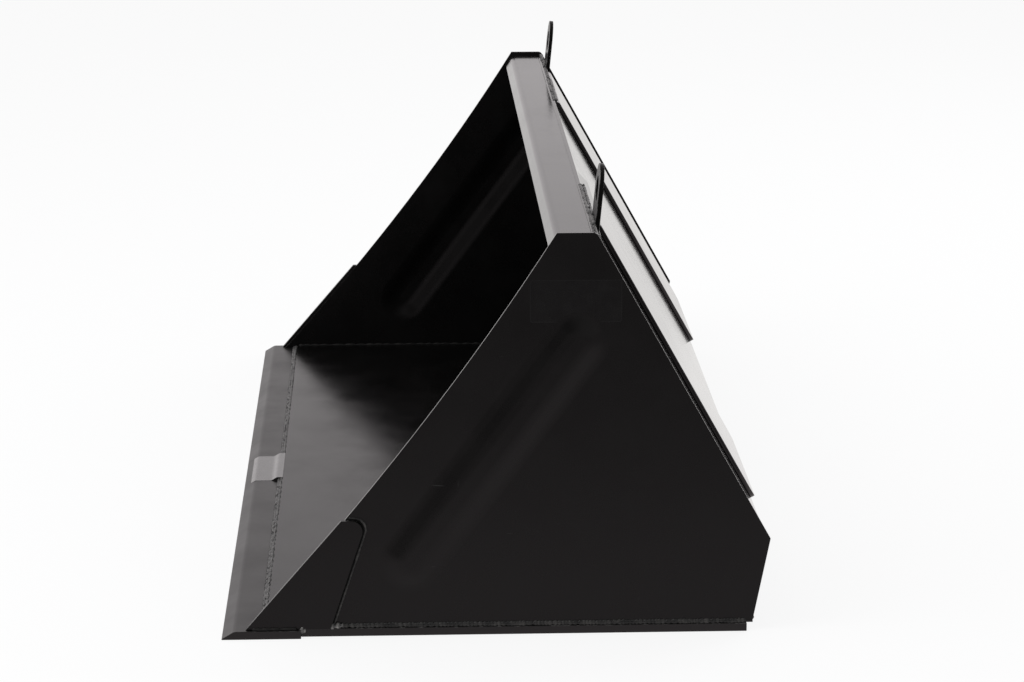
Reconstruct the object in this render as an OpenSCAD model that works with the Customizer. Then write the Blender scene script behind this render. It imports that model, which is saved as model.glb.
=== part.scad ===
// Welded loader bucket for bulk goods, empty and without a coupler.
// +Z is up, +X is the driver's left, the mouth faces -Y, and the origin is on the ground under the middle.
// Outlines are written in the side view as [distance behind the toe, height].

/* [Bucket] */
// Width over the side plates
bucket_w = 2000; // [1700:10:2600]
// Length of the level sole, from the toe to the heel
sole_l = 930; // [800:5:1100]
// Height of the side plates above the ground
bucket_h = 725; // [620:5:860]
// How far the heel corner stands behind the sole
heel_back = 11; // [4:1:18]
// How far the knee stands behind the sole
knee_out = 40; // [25:1:80]
// Height of the knee, where the back plate is folded
knee_h = 170; // [120:2:240]

/* [Side plates] */
// Thickness of a side plate
side_t = 5; // [4:0.5:8]
// Length of the flat top of a side plate
top_flat_l = 69; // [55:1:90]
// Distance of the rear top corner from the knee, measured level
back_run = 311; // [240:1:360]
// Where the front edge meets the cutting edge, behind the toe
front_foot = 49; // [40:1:60]
// How far the front edge is hollowed behind its straight line
front_hollow = 24; // [0:1:40]
// Radius of the rounded rear top corner
top_corner_r = 10; // [4:1:20]

/* [Pressed bead] */
// Width of the bead at the plate
bead_w = 95; // [75:1:100]
// How far the bead stands out
bead_h = 10; // [6:0.5:14]
// Width of each sloping flank
bead_flank = 30; // [20:1:34]
// Length between the centres of its round ends
bead_l = 495; // [300:5:510]
// Height of its middle above the ground
bead_z = 333; // [325:1:345]
// Distance of its middle behind the toe
bead_y = 481; // [470:1:490]
// Slope of the bead from level, in degrees
bead_tilt = 53.5; // [50:0.5:57]

/* [Sheet and edge] */
// Thickness of the floor plate and the back plate
sheet_t = 5; // [4:0.5:8]
// How far the back plate lies inside the rear edges of the side plates
sheet_inset = 5.5; // [3:0.5:8]
// Outer radius of the fold at the knee
fold_r = 14; // [10:1:24]
// Thickness of the cutting edge
edge_t = 15; // [12:0.5:20]
// Depth of the cutting edge from front to back
edge_d = 140; // [110:1:200]
// Length of the bevel on the cutting edge
bevel_l = 22; // [15:1:30]
// Height of the blunt nose that the bevel leaves
nose_h = 2; // [1:0.5:4]
// How far the cutting edge stands out past each side plate
edge_over = 16.5; // [13:0.5:22]
// Distance of the floor's front edge behind the toe
lap_y = 73; // [66:1:90]

/* [Wear plates and skids] */
// Thickness of a wear plate
wear_t = 10; // [6:0.5:12]
// Height of a wear plate's top above the ground
wear_h = 214; // [160:2:260]
// How far a wear plate stands in front of the side plate
wear_proud = 7; // [3:0.5:12]
// Length of a wear plate along its foot
wear_foot_l = 150; // [110:2:170]
// Length of a wear plate along its top, to the corner
wear_top_l = 45; // [42:1:60]
// Radius of a wear plate's rear top corner
wear_corner_r = 19; // [6:1:22]
// Width of a skid
skid_w = 60; // [40:2:100]
// How far a skid stands out past the side plate
skid_out = 5; // [5:0.5:8]

/* [Top beam] */
// Depth of the beam's top below the side plates' top
beam_drop = 8; // [4:0.5:16]
// Sheet thickness of the beam
beam_t = 4; // [3:0.5:6]
// Length of the beam's front flange
flange_l = 27; // [20:1:45]
// How far the flange lies behind the side plates' front edge
flange_inset = 5; // [2:0.5:8]
// Outer radius of the beam's fold
beam_fold_r = 8; // [6:0.5:12]

/* [Pads and eyes] */
// Width of a mounting pad
pad_w = 400; // [200:5:420]
// Thickness of a mounting pad
pad_t = 8; // [5:0.5:12]
// Distance of a pad's outer edge from the outside of the side plate
pad_in = 218; // [205:1:300]
// Distance of a pad's top edge from the side plate's top corner, down the slope
pad_top = 7; // [7:1:30]
// Gap between a pad's lower edge and the knee
pad_end_gap = 7; // [6:1:60]
// Radius of a pad's lower corners
pad_corner_r = 18; // [8:1:30]
// Width of a lifting eye
eye_w = 90; // [70:1:100]
// Thickness of a lifting eye
eye_t = 8; // [6:0.5:12]
// Diameter of the hole in a lifting eye
eye_hole_d = 45; // [25:0.5:50]
// Depth of an eye's foot below the beam's top
eye_drop = 8.5; // [6:0.5:20]
// Height of the hole above the eye's foot
eye_rise = 64.5; // [60:0.5:100]
// Rearward lean of an eye, in degrees
eye_lean = 5.5; // [0:0.5:10]
// Distance of an eye's middle from the outside of the side plate
eye_in = 145; // [100:1:150]

/* [Welds] */
// Leg of the fillet welds
weld_leg = 5; // [3:0.5:6]
// Width of the weld along the floor's front edge
seam_weld_w = 11; // [8:0.5:14]
// Height of that weld above the floor
seam_weld_rise = 1.5; // [0.5:0.5:3]
// Height of the outer bottom weld above the skid
outer_weld_h = 11; // [8:0.5:13]
// How far the outer bottom weld reaches out over the skid
outer_weld_out = 4; // [2:0.5:5]
// How far in front of a pad its top weld reaches
pad_weld_reach = 6; // [4:0.5:9]
// Share of a pad's width where the left pad's weld starts, from the pad's inner edge
left_weld_share = 0.5; // [0:0.05:0.7]
// Share of a pad's width where the right pad's weld ends, from the pad's inner edge
right_weld_share = 0.8; // [0.3:0.05:1]

/* [Hidden] */

left = 1;
right = -1;
half_w = bucket_w / 2;
inner_w = half_w - side_t;
bucket_d = sole_l + knee_out;
floor_top = edge_t + sheet_t;
heel = [sole_l + heel_back, floor_top];
knee = [sole_l + knee_out, knee_h];
top_rear = [knee[0] - back_run, bucket_h];
top_front = [top_rear[0] - top_flat_l, bucket_h];
arc_steps = 6;
curve_steps = 16;
paint = [0.1, 0.1, 0.11];
bare_edge = [0.3, 0.3, 0.32];
weld_grey = [0.22, 0.22, 0.23];

// Directions of the back slope and the heel, and the way out of each
slope_dir = unit(knee - top_rear);
slope_out = [-slope_dir[1], slope_dir[0]];
heel_dir = unit(knee - heel);
heel_out = [heel_dir[1], -heel_dir[0]];
slope_l = norm(knee - top_rear);
slope_tilt = atan2(top_rear[1] - knee[1], knee[0] - top_rear[0]);

function unit(v) = v / norm(v);

// Level distance of a line, moved in by d, at height z
function slope_y(z, d) = top_rear[0] + (top_rear[1] - z) * slope_dir[0] / -slope_dir[1] - d / slope_out[0];
function heel_y(z, d) = heel[0] + (z - heel[1]) * heel_dir[0] / heel_dir[1] - d / heel_out[0];

// Corner of two lines that are both moved in by d
function knee_in(d) = let (way = unit(slope_out + heel_out)) knee - way * d / (way * slope_out);

// Front edge of a side plate at height z: a straight line with a parabola's hollow
function front_share(z) = (z - edge_t) / (bucket_h - edge_t);
function front_y(z) = front_foot + (top_front[0] - front_foot) * front_share(z)
    + 4 * front_hollow * front_share(z) * (1 - front_share(z));

// Arc that rounds the corner at b, between the neighbours a and c
function corner_arc(a, b, c, r) =
    let (u = unit(a - b), v = unit(c - b), half = acos(u * v) / 2)
    let (mid = b + unit(u + v) * r / sin(half))
    let (from = b + u * r / tan(half) - mid, to = b + v * r / tan(half) - mid)
    let (start = atan2(from[1], from[0]), turn = atan2(to[1], to[0]) - start)
    let (sweep = turn > 180 ? turn - 360 : turn < -180 ? turn + 360 : turn)
    [for (k = [0:arc_steps]) let (a = start + sweep * k / arc_steps) mid + r * [cos(a), sin(a)]];

// Closed outline whose corners are rounded by the radii given, where 0 leaves a corner sharp
function rounded(points, radii) = [
    for (i = [0:len(points) - 1])
        let (n = len(points))
        each radii[i] > 0
            ? corner_arc(points[(i + n - 1) % n], points[i], points[(i + 1) % n], radii[i])
            : [points[i]]
];

// Stands a side-view outline up between two distances from the middle
module across(from, to) {
    translate([from, -bucket_d / 2, 0])
        rotate([90, 0, 90])
            linear_extrude(to - from)
                children();
}

// Makes the left or the right one of a pair
module on_side(side) {
    mirror([side < 0 ? 1 : 0, 0, 0])
        children();
}

// Working frame on the back plate's outer face: X across, Y down the slope, Z outwards
module on_slope() {
    foot = top_rear - slope_out * sheet_inset;
    translate([0, foot[0] - bucket_d / 2, foot[1]])
        rotate([-slope_tilt, 0, 0])
            children();
}

module cutting_edge() {
    color(bare_edge)
        across(-half_w - edge_over, half_w + edge_over)
            polygon([[0, 0], [edge_d, 0], [edge_d, edge_t], [bevel_l, edge_t], [0, nose_h]]);
}

module floor_plate() {
    color(paint)
        across(-half_w, half_w)
            polygon([[lap_y, edge_t], [heel[0], edge_t], [heel[0], floor_top], [lap_y, floor_top]]);
}

// One sheet with a rounded fold at the knee
module back_plate() {
    top = bucket_h - beam_drop;
    deep = sheet_inset + sheet_t;
    outer = [
        [slope_y(top, sheet_inset), top], knee_in(sheet_inset), [heel_y(floor_top, sheet_inset), floor_top]
    ];
    inner = [[heel_y(floor_top, deep), floor_top], knee_in(deep), [slope_y(top, deep), top]];
    color(paint)
        across(-inner_w, inner_w)
            polygon(rounded(concat(outer, inner), [0, fold_r, 0, 0, fold_r - sheet_t, 0]));
}

// Long raised form with round ends and sloping flanks, lying on z = 0
module bead_form() {
    foot_r = bead_w / 2;
    crest_r = foot_r - bead_flank;
    for (end = [-1, 1])
        translate([end * bead_l / 2, 0, 0])
            cylinder(h = bead_h, r1 = foot_r, r2 = crest_r, $fn = 64);
    rotate([90, 0, 90])
        translate([0, 0, -bead_l / 2])
            linear_extrude(bead_l)
                polygon([[-foot_r, 0], [foot_r, 0], [crest_r, bead_h], [-crest_r, bead_h]]);
}

module bead_place(x) {
    translate([x, bead_y - bucket_d / 2, bead_z])
        rotate([90, 0, 90])
            rotate([0, 0, bead_tilt])
                children();
}

function side_outline() = concat(
    [for (k = [0:curve_steps]) let (z = edge_t + (bucket_h - edge_t) * k / curve_steps) [front_y(z), z]],
    corner_arc(top_front, top_rear, knee, top_corner_r),
    [knee, heel, [lap_y, floor_top], [lap_y, edge_t]]
);

// Flat plate with a pressed bead: raised outside and hollow inside by the plate's own thickness
module side_plate(side) {
    color(paint)
        on_side(side)
            difference() {
                union() {
                    across(inner_w, half_w)
                        polygon(side_outline());
                    bead_place(half_w)
                        bead_form();
                }
                bead_place(inner_w)
                    bead_form();
            }
}

// Front edge and rear edge of a wear plate, the rear one moved out by d, at height z
wear_front_foot = front_foot - wear_proud;
wear_top_front = front_y(wear_h) - wear_proud;
wear_rear_dir = unit([wear_top_front + wear_top_l - wear_front_foot - wear_foot_l, wear_h - edge_t]);
function wear_rear_y(z, d) = wear_front_foot + wear_foot_l
    + (z - edge_t) * wear_rear_dir[0] / wear_rear_dir[1] + d / wear_rear_dir[1];

// Top and rear of a wear plate, moved out by d
function wear_back(d) = concat(
    corner_arc(
        [wear_top_front, wear_h + d], [wear_rear_y(wear_h + d, d), wear_h + d],
        [wear_rear_y(edge_t, d), edge_t], wear_corner_r + d
    ),
    [[wear_rear_y(edge_t, d), edge_t]]
);

module wear_plate(side) {
    color(paint)
        on_side(side)
            across(half_w, half_w + wear_t)
                polygon(concat([[wear_front_foot, edge_t], [wear_top_front, wear_h]], wear_back(0)));
}

// Folded sheet: a front flange in the plane of the mouth and a top that runs back to the back plate
module top_beam() {
    top = bucket_h - beam_drop;
    lead = unit([front_y(top) - front_y(top - flange_l), flange_l]);
    fold = [front_y(top) + flange_inset / lead[1], top];
    foot = fold - lead * flange_l;
    inside = [lead[1], -lead[0]] * beam_t;
    turn = acos(lead[0]);
    inner_fold = fold + [beam_t / tan((180 - turn) / 2), -beam_t];
    deep = sheet_inset + sheet_t;
    color(paint)
        across(-inner_w, inner_w)
            polygon(rounded([
                foot, fold, [slope_y(top, deep), top], [slope_y(top - beam_t, deep), top - beam_t],
                inner_fold, foot + inside
            ], [0, beam_fold_r, 0, 0, beam_fold_r - beam_t, 0]));
}

pad_x = half_w - pad_in - pad_w / 2;
pad_l = slope_l - pad_top - pad_end_gap;

module mounting_pad(side) {
    color(paint)
        on_side(side)
            on_slope()
                translate([pad_x, pad_top, 0])
                    linear_extrude(pad_t)
                        polygon(rounded([
                            [-pad_w / 2, 0], [pad_w / 2, 0], [pad_w / 2, pad_l], [-pad_w / 2, pad_l]
                        ], [0, 0, pad_corner_r, pad_corner_r]));
}

// Foot of the eyes on the back plate, and the way that they lean
eye_x = half_w - eye_in;
eye_foot_z = bucket_h - beam_drop - eye_drop;
eye_foot = [slope_y(eye_foot_z, sheet_inset) + eye_t / 2, eye_foot_z];
eye_up = [sin(eye_lean), cos(eye_lean)];
eye_back = [cos(eye_lean), -sin(eye_lean)];
eye_root = 3 * eye_t;

module lifting_eye(side) {
    color(bare_edge)
        on_side(side)
            difference() {
                translate([eye_x, eye_foot[0] - bucket_d / 2, eye_foot[1]])
                    rotate([90 - eye_lean, 0, 0])
                        difference() {
                            union() {
                                translate([-eye_w / 2, -eye_root, -eye_t / 2])
                                    cube([eye_w, eye_root + eye_rise, eye_t]);
                                translate([0, eye_rise, -eye_t / 2])
                                    cylinder(h = eye_t, d = eye_w, $fn = 64);
                            }
                            translate([0, eye_rise, -eye_t])
                                cylinder(h = 2 * eye_t, d = eye_hole_d, $fn = 64);
                        }
                // What would reach in through the back plate's outer face
                on_slope()
                    translate([0, 0, -eye_root])
                        cube([bucket_w, slope_l, eye_root]);
            }
}

module skid(side) {
    color(paint)
        on_side(side)
            across(half_w + skid_out - skid_w, half_w + skid_out)
                polygon([[edge_d, 0], [sole_l, 0], [sole_l, edge_t], [edge_d, edge_t]]);
}

// Crowned bead that covers the floor's front edge
module floor_seam_weld() {
    reach = seam_weld_w / 2;
    color(weld_grey)
        across(-inner_w, inner_w)
            polygon([
                [lap_y - reach, edge_t], [lap_y, edge_t], [lap_y, floor_top], [lap_y + reach, floor_top],
                [lap_y, floor_top + seam_weld_rise]
            ]);
}

module heel_weld() {
    foot = heel_y(floor_top, sheet_inset);
    rise = floor_top + weld_leg;
    color(weld_grey)
        across(-inner_w, inner_w)
            polygon([[foot, floor_top], [heel[0], floor_top], [heel_y(rise, sheet_inset), rise]]);
}

// Quarter-round bead on the skid's ledge, over the seam of floor plate and side plate
module outer_weld(side) {
    from = wear_rear_y(edge_t + outer_weld_h, weld_leg);
    color(weld_grey)
        on_side(side)
            translate([half_w, sole_l - bucket_d / 2, edge_t])
                rotate([90, 0, 0])
                    linear_extrude(sole_l - from)
                        polygon(concat([[0, 0]], [
                            for (k = [0:arc_steps])
                                let (a = 90 * k / arc_steps)
                                [outer_weld_out * cos(a), outer_weld_h * sin(a)]
                        ]));
}

module inner_weld(side) {
    color(weld_grey)
        on_side(side)
            translate([inner_w, heel_y(floor_top, sheet_inset + sheet_t) - bucket_d / 2, floor_top])
                rotate([90, 0, 0])
                    linear_extrude(heel_y(floor_top, sheet_inset + sheet_t) - lap_y - seam_weld_w / 2)
                        polygon([[-weld_leg, 0], [0, 0], [0, weld_leg]]);
}

// Weld round the top corner and the rear edge, and a foot weld on the cutting edge
module wear_weld(side) {
    color(weld_grey)
        on_side(side) {
            across(half_w, half_w + weld_leg)
                polygon(concat(wear_back(weld_leg), [for (k = [arc_steps + 1:-1:0]) wear_back(0)[k]]));
            translate([half_w + wear_t, edge_d - bucket_d / 2, edge_t])
                rotate([90, 0, 0])
                    linear_extrude(edge_d - front_foot)
                        polygon([[0, 0], [weld_leg, 0], [0, weld_leg]]);
        }
}

// Bead along a pad's top edge on to the beam, between two shares of the pad's width
module pad_weld(side, from, to) {
    edge = top_rear - slope_out * sheet_inset + slope_dir * pad_top;
    crown = edge + slope_out * pad_t;
    reach = [slope_y(bucket_h - beam_drop, sheet_inset) - pad_weld_reach, bucket_h - beam_drop];
    root = [slope_y(bucket_h - beam_drop, sheet_inset), bucket_h - beam_drop];
    color(weld_grey)
        on_side(side)
            across(pad_x - pad_w / 2 + pad_w * from, pad_x - pad_w / 2 + pad_w * to)
                polygon([reach, root, edge, crown, [reach[0] + pad_weld_reach / 2, crown[1]]]);
}

// Point where an eye's face, moved back by d from its middle, meets the back plate's outer face
function eye_seat(d) =
    let (p = eye_foot + eye_back * d, s = top_rear - slope_out * sheet_inset)
    p - eye_up * ((p - s) * slope_out) / (eye_up * slope_out);

function eye_seat_top() = [slope_y(bucket_h - beam_drop, sheet_inset), bucket_h - beam_drop];

// Groove weld between the eye and the top edge of the back plate, and a fillet behind the eye
module eye_weld(side) {
    front = eye_seat(-eye_t / 2);
    rear = eye_seat(eye_t / 2);
    color(weld_grey)
        on_side(side)
            across(eye_x - eye_w / 2, eye_x + eye_w / 2) {
                polygon([front, front + eye_up * eye_drop, eye_seat_top()]);
                polygon([rear, rear + eye_up * weld_leg, rear + slope_dir * weld_leg]);
            }
}

cutting_edge();
floor_plate();
back_plate();
side_plate(left);  // side_plate_left
side_plate(right);  // side_plate_right
wear_plate(left);  // wear_plate_left
wear_plate(right);  // wear_plate_right
top_beam();
mounting_pad(left);  // mounting_pad_left
mounting_pad(right);  // mounting_pad_right
lifting_eye(left);  // lifting_eye_left
lifting_eye(right);  // lifting_eye_right
skid(left);  // skid_left
skid(right);  // skid_right
floor_seam_weld();
heel_weld();
outer_weld(left);  // outer_weld_left
outer_weld(right);  // outer_weld_right
inner_weld(left);  // inner_weld_left
inner_weld(right);  // inner_weld_right
wear_weld(left);  // wear_weld_left
wear_weld(right);  // wear_weld_right
pad_weld(left, left_weld_share, 1);  // pad_weld_left
pad_weld(right, 0, right_weld_share);  // pad_weld_right
eye_weld(left);  // eye_weld_left
eye_weld(right);  // eye_weld_right
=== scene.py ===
import math

import bmesh
import bpy
from mathutils import Matrix, Vector, noise


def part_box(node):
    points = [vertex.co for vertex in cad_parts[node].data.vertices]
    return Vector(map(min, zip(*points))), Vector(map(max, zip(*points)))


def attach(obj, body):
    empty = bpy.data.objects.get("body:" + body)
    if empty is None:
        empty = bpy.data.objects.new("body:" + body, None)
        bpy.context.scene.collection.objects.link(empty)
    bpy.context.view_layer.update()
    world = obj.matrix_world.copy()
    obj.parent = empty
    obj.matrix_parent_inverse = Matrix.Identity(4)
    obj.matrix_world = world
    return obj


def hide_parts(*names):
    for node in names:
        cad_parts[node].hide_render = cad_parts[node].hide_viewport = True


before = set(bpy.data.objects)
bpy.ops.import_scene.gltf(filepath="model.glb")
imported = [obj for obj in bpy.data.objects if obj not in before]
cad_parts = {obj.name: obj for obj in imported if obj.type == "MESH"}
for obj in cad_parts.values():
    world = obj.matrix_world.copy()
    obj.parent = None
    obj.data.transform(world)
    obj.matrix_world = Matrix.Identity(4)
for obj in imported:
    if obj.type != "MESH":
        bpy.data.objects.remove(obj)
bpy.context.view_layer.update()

MM = 0.001
LEFT, RIGHT = 1, -1
TOE_MM = 485.0
HALF_WIDTH_MM = 1000.0
EDGE_TOP_MM = 15.0
WHITE = (1.0, 1.0, 1.0, 1.0)
BLACK = (0.0, 0.0, 0.0, 1.0)


def spot(x, y, z):
    """Place in millimetres: x from the middle, y behind the toe, z above the ground."""
    return Vector((x, y - TOE_MM, z)) * MM


# ---------------------------------------------------------------- camera
FOCAL_PX = 3076.6
FRAME_PX = 1024
SENSOR_MM = 36.0
CAMERA_AT = Vector((6.1543, -0.1753, 1.8494))
CAMERA_PITCH = math.radians(14.299)
CAMERA_YAW = math.radians(2.257)


def make_camera():
    """Camera at the photograph's place, with its length of lens."""
    data = bpy.data.cameras.new("camera")
    data.sensor_width = SENSOR_MM
    data.lens = FOCAL_PX / FRAME_PX * SENSOR_MM
    camera = bpy.data.objects.new("camera", data)
    camera.location = CAMERA_AT
    ahead = Vector((
        -math.cos(CAMERA_PITCH) * math.cos(CAMERA_YAW),
        math.cos(CAMERA_PITCH) * math.sin(CAMERA_YAW),
        -math.sin(CAMERA_PITCH),
    ))
    camera.rotation_euler = ahead.to_track_quat("-Z", "Y").to_euler()
    bpy.context.collection.objects.link(camera)
    bpy.context.scene.camera = camera


# ---------------------------------------------------------------- shader helpers
# Sockets of a Mix node that mixes colours: three of its inputs and its output
MIX_FACTOR, MIX_A, MIX_B, MIX_RESULT = 0, 6, 7, 2


def new_group(name, inputs, outputs):
    """Empty shader node group. inputs are (name, default), outputs are (name, socket type)."""
    tree = bpy.data.node_groups.new(name, "ShaderNodeTree")
    for label, default in inputs:
        socket = tree.interface.new_socket(label, in_out="INPUT", socket_type="NodeSocketFloat")
        socket.default_value = default
    for label, kind in outputs:
        tree.interface.new_socket(label, in_out="OUTPUT", socket_type=kind)
    return tree, tree.nodes.new("NodeGroupInput"), tree.nodes.new("NodeGroupOutput")


def add(tree, kind, links=None, **settings):
    """Node of that kind. settings are its properties.

    links gives each socket, by name or index, a value or a source socket.
    """
    node = tree.nodes.new(kind)
    for key, value in settings.items():
        setattr(node, key, value)
    for key, value in (links or {}).items():
        socket = node.inputs[key]
        if isinstance(value, bpy.types.NodeSocket):
            tree.links.new(value, socket)
        else:
            socket.default_value = value
    return node


def noise_of(tree, scale, detail=3.0, rough=0.5, stretch=None, vector=None):
    """Noise value on Object coordinates, or on those stretched along an axis."""
    if vector is None:
        vector = add(tree, "ShaderNodeTexCoord").outputs["Object"]
    if stretch:
        stretched = add(tree, "ShaderNodeMapping", {"Vector": vector, "Scale": stretch})
        vector = stretched.outputs["Vector"]
    given = {"Vector": vector, "Scale": scale, "Detail": detail, "Roughness": rough}
    return add(tree, "ShaderNodeTexNoise", given).outputs["Fac"]


def spread(tree, value, low, high, to_low=0.0, to_high=1.0):
    """value from low..high to to_low..to_high, clamped."""
    ends = {"Value": value, "From Min": low, "From Max": high, "To Min": to_low, "To Max": to_high}
    return add(tree, "ShaderNodeMapRange", ends).outputs["Result"]


def maths(tree, operation, a, b):
    """Result of a math node on two values or sockets."""
    return add(tree, "ShaderNodeMath", {0: a, 1: b}, operation=operation).outputs["Value"]


def mix_colour(tree, factor, a, b):
    """Colour a where the factor is 0, and b where it is 1."""
    given = {MIX_FACTOR: factor, MIX_A: a, MIX_B: b}
    return add(tree, "ShaderNodeMix", given, data_type="RGBA").outputs[MIX_RESULT]


def attribute(tree, name):
    """Value of one of the mesh's own attributes."""
    return add(tree, "ShaderNodeAttribute", attribute_name=name).outputs["Fac"]


def link_bump(tree, shader, height, strength, distance):
    """Feeds a height to the shader's normal."""
    given = {"Height": height, "Strength": strength, "Distance": distance}
    bumped = add(tree, "ShaderNodeBump", given)
    tree.links.new(bumped.outputs["Normal"], shader.inputs["Normal"])


def grey(value, warm=0.0):
    """Linear grey, a little warm or cool."""
    return (value * (1 + warm), value, value * (1 - warm), 1.0)


# ---------------------------------------------------------------- effects shared by the finishes
def make_paint_grain():
    """Sprayed paint: orange peel and slow waves in the sheet, as a height and as a blotch value."""
    tree, given, out = new_group(
        "paint_grain",
        [("Peel Scale", 420.0), ("Peel Height", 0.25), ("Wave Scale", 6.0), ("Wave Height", 1.0)],
        [("Height", "NodeSocketFloat"), ("Blotch", "NodeSocketFloat")],
    )
    blotch_scale, blotch_low, blotch_high = 9.0, 0.35, 0.68
    peel = noise_of(tree, given.outputs["Peel Scale"], detail=2.0)
    peel = maths(tree, "MULTIPLY", peel, given.outputs["Peel Height"])
    wave = noise_of(tree, given.outputs["Wave Scale"], detail=2.0, rough=0.4)
    wave = maths(tree, "MULTIPLY", wave, given.outputs["Wave Height"])
    tree.links.new(maths(tree, "ADD", peel, wave), out.inputs["Height"])
    clouds = noise_of(tree, blotch_scale, detail=5.0, rough=0.62)
    tree.links.new(spread(tree, clouds, blotch_low, blotch_high), out.inputs["Blotch"])
    return tree


def make_edge_wear():
    """Where paint is rubbed through: along the bevelled edges, broken up by noise."""
    tree, given, out = new_group(
        "edge_wear", [("Amount", 0.5), ("Break Scale", 60.0)], [("Mask", "NodeSocketFloat")]
    )
    softness = 0.12
    broken = noise_of(tree, given.outputs["Break Scale"], detail=4.0, rough=0.7)
    low = maths(tree, "SUBTRACT", 1.0, given.outputs["Amount"])
    patch = spread(tree, broken, low, maths(tree, "ADD", low, softness))
    tree.links.new(maths(tree, "MULTIPLY", attribute(tree, "edge"), patch), out.inputs["Mask"])
    return tree


def make_fine_scratches():
    """Thin rubbed lines and specks left by handling."""
    tree, given, out = new_group(
        "fine_scratches", [("Scale", 14.0), ("Amount", 0.3)], [("Mask", "NodeSocketFloat")]
    )
    limit_unmarked, limit_share, softness = 0.80, 0.12, 0.03
    patch_scale, patch_low, patch_high = 3.1, 0.52, 0.62
    marks = []
    for turn, stretch in ((0.6, (1.0, 0.9, 16.0)), (2.2, (1.0, 14.0, 1.1))):
        turned = add(tree, "ShaderNodeMapping", {
            "Vector": add(tree, "ShaderNodeTexCoord").outputs["Object"],
            "Rotation": (turn, turn / 2, turn),
            "Scale": stretch,
        }).outputs["Vector"]
        marks.append(noise_of(tree, given.outputs["Scale"], detail=2.0, vector=turned))
    lowering = maths(tree, "MULTIPLY", given.outputs["Amount"], limit_share)
    limit = maths(tree, "SUBTRACT", limit_unmarked, lowering)
    both = maths(tree, "MAXIMUM", marks[0], marks[1])
    line = spread(tree, both, limit, maths(tree, "ADD", limit, softness))
    patch = spread(tree, noise_of(tree, patch_scale, detail=2.0), patch_low, patch_high)
    tree.links.new(maths(tree, "MULTIPLY", line, patch), out.inputs["Mask"])
    return tree


def make_settled_dust():
    """Thin dust on what faces up."""
    tree, given, out = new_group("settled_dust", [("Amount", 0.1)], [("Mask", "NodeSocketFloat")])
    sloping, level = 0.5, 0.95
    patch_scale, patch_low, patch_high = 11.0, 0.35, 0.75
    normal = add(tree, "ShaderNodeNewGeometry").outputs["Normal"]
    up = add(tree, "ShaderNodeSeparateXYZ", {0: normal}).outputs["Z"]
    lying = spread(tree, up, sloping, level)
    clouds = noise_of(tree, patch_scale, detail=6.0, rough=0.7)
    dust = maths(tree, "MULTIPLY", lying, spread(tree, clouds, patch_low, patch_high))
    tree.links.new(maths(tree, "MULTIPLY", dust, given.outputs["Amount"]), out.inputs["Mask"])
    return tree


GRAIN = make_paint_grain()
WEAR = make_edge_wear()
SCRATCHES = make_fine_scratches()
DUST = make_settled_dust()


def use(tree, group, **values):
    """Node that places a group in a material, with values for its sockets."""
    node = tree.nodes.new("ShaderNodeGroup")
    node.node_tree = group
    for key, value in values.items():
        node.inputs[key.replace("_", " ").title()].default_value = value
    return node


# ---------------------------------------------------------------- finishes
WARM_GLOSS = (1.0, 0.94, 0.955, 1.0)
DUST_COLOUR = grey(0.11, 0.06)
SCRATCH_COLOUR = grey(0.09)
SPECK_COLOUR = grey(0.02)
RIM_DUST_COLOUR = grey(0.012)
PIT_SHADE_COLOUR = grey(0.001)


def new_finish(name, gloss, tint=WHITE):
    """Material with its node tree and shader. gloss is how strongly it mirrors."""
    material = bpy.data.materials.new(name)
    material.use_nodes = True
    tree = material.node_tree
    shader = tree.nodes["Principled BSDF"]
    shader.inputs["Specular IOR Level"].default_value = gloss
    shader.inputs["Specular Tint"].default_value = tint
    return material, tree, shader


def painted_steel(name, body=0.003, rough=0.24, rough_spread=0.08, specular=0.2, wear=0.42,
                  scratches=0.25, dust=0.02, peel=0.25, wave=0.5, bump=0.06, bare_and_highlight=0.2):
    """Black sprayed paint over steel.

    It has orange peel, uneven gloss, rubbed edges, fine scratches and a little dust.
    """
    material, tree, shader = new_finish(name, specular, WARM_GLOSS)
    dark_share, light_share, warmth, worn_warmth = 0.8, 1.25, 0.03, 0.02
    scratch_share, scratch_depth = 0.35, 0.1
    dust_rough, worn_rough, worn_metal, worn_depth = 0.6, 0.18, 0.7, 0.2
    grain = use(tree, GRAIN, peel_height=peel, wave_height=wave)
    worn = use(tree, WEAR, amount=wear).outputs["Mask"]
    lines = use(tree, SCRATCHES, amount=scratches).outputs["Mask"]
    dusty = use(tree, DUST, amount=dust).outputs["Mask"]
    blotch = grain.outputs["Blotch"]

    dark, light = grey(body * dark_share, warmth), grey(body * light_share, warmth)
    colour = mix_colour(tree, blotch, dark, light)
    colour = mix_colour(tree, dusty, colour, DUST_COLOUR)
    colour = mix_colour(tree, maths(tree, "MULTIPLY", lines, scratch_share), colour, SCRATCH_COLOUR)
    colour = mix_colour(tree, worn, colour, grey(bare_and_highlight, worn_warmth))
    tree.links.new(colour, shader.inputs["Base Color"])

    half = rough_spread / 2
    matt = spread(tree, blotch, 0.0, 1.0, rough - half, rough + half)
    matt = maths(tree, "ADD", matt, maths(tree, "MULTIPLY", dusty, dust_rough))
    matt = maths(tree, "ADD", matt, maths(tree, "MULTIPLY", worn, worn_rough))
    tree.links.new(matt, shader.inputs["Roughness"])
    tree.links.new(maths(tree, "MULTIPLY", worn, worn_metal), shader.inputs["Metallic"])

    scored = maths(tree, "MULTIPLY", lines, scratch_depth)
    height = maths(tree, "SUBTRACT", grain.outputs["Height"], scored)
    height = maths(tree, "SUBTRACT", height, maths(tree, "MULTIPLY", worn, worn_depth))
    link_bump(tree, shader, height, bump, MM)
    return material


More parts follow.
